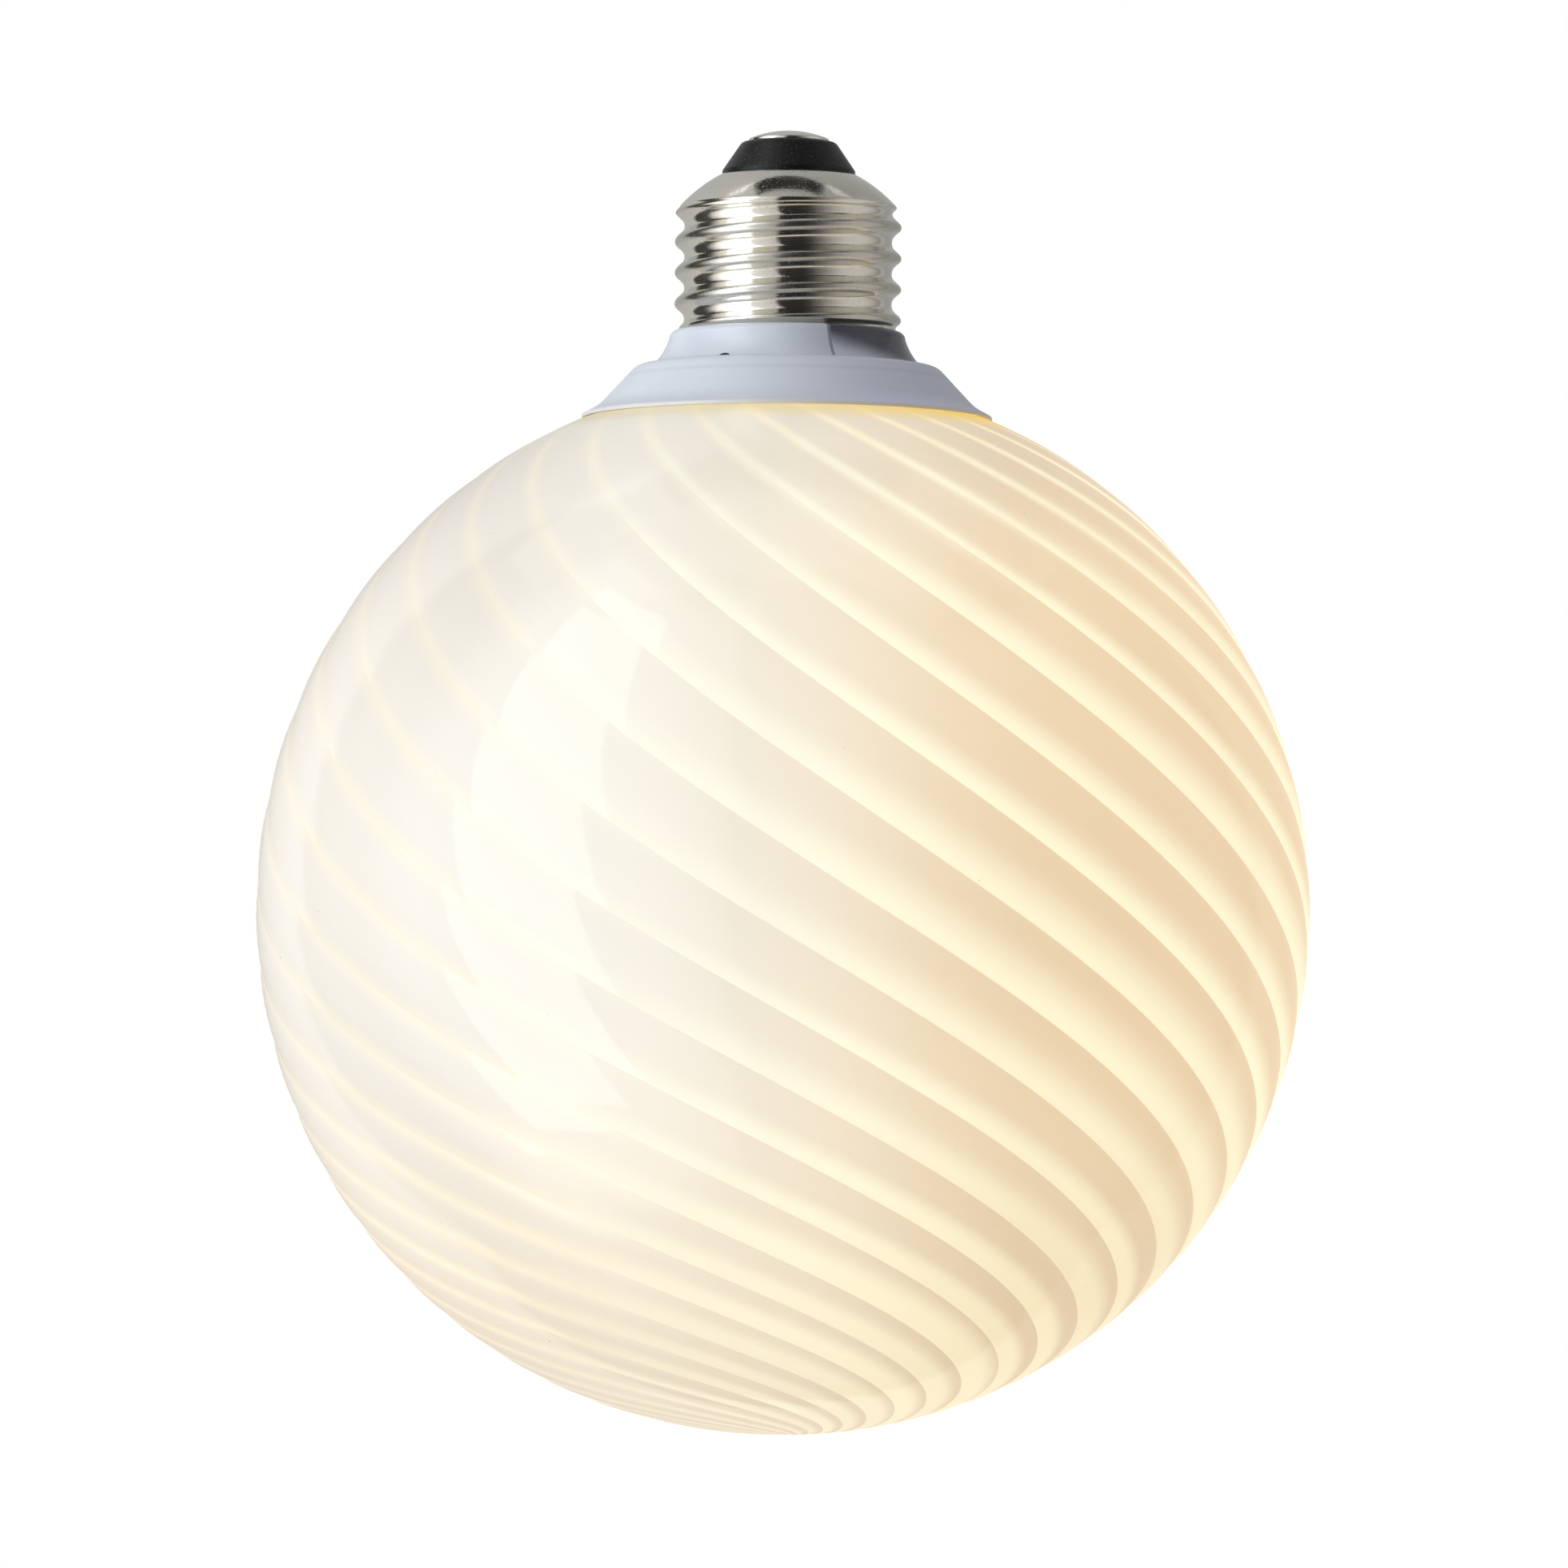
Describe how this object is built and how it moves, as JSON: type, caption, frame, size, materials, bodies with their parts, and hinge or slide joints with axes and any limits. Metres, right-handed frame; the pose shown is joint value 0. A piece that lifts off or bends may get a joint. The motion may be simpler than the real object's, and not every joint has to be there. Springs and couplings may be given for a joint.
{
  "type": "decorative led bulb",
  "caption": "Round opal glass LED bulb with a swirl of shallow diagonal bands, a white two-tier collar and a nickel screw cap, which hangs in a lampholder and gives soft warm light.",
  "frame": {"origin": "tip of the centre contact, on the bulb's axis", "axes": "+Z along the bulb's axis, up out of the screw cap into the lampholder, so the globe hangs below; +X to the right in the picture and +Y away from the viewer"},
  "size_m": [0.1224, 0.1224, 0.152],
  "materials": {
    "contact_nickel": "nickel plate, bright",
    "black_insulator": "black moulded insulator, satin",
    "sleeve_nickel": "nickel plate on rolled sheet, bright",
    "white_gloss": "white moulded plastic, glossy",
    "white_satin": "white moulded plastic, satin",
    "opal_glass": "blown opal glass, glossy, lit from inside"
  },
  "bodies": {
    "root": {"centre_contact": "contact_nickel", "insulator": "black_insulator", "screw_sleeve": "sleeve_nickel", "neck_housing": "white_gloss", "skirt_ring": "white_satin", "glass_globe": "opal_glass"}
  },
  "joints": []
}
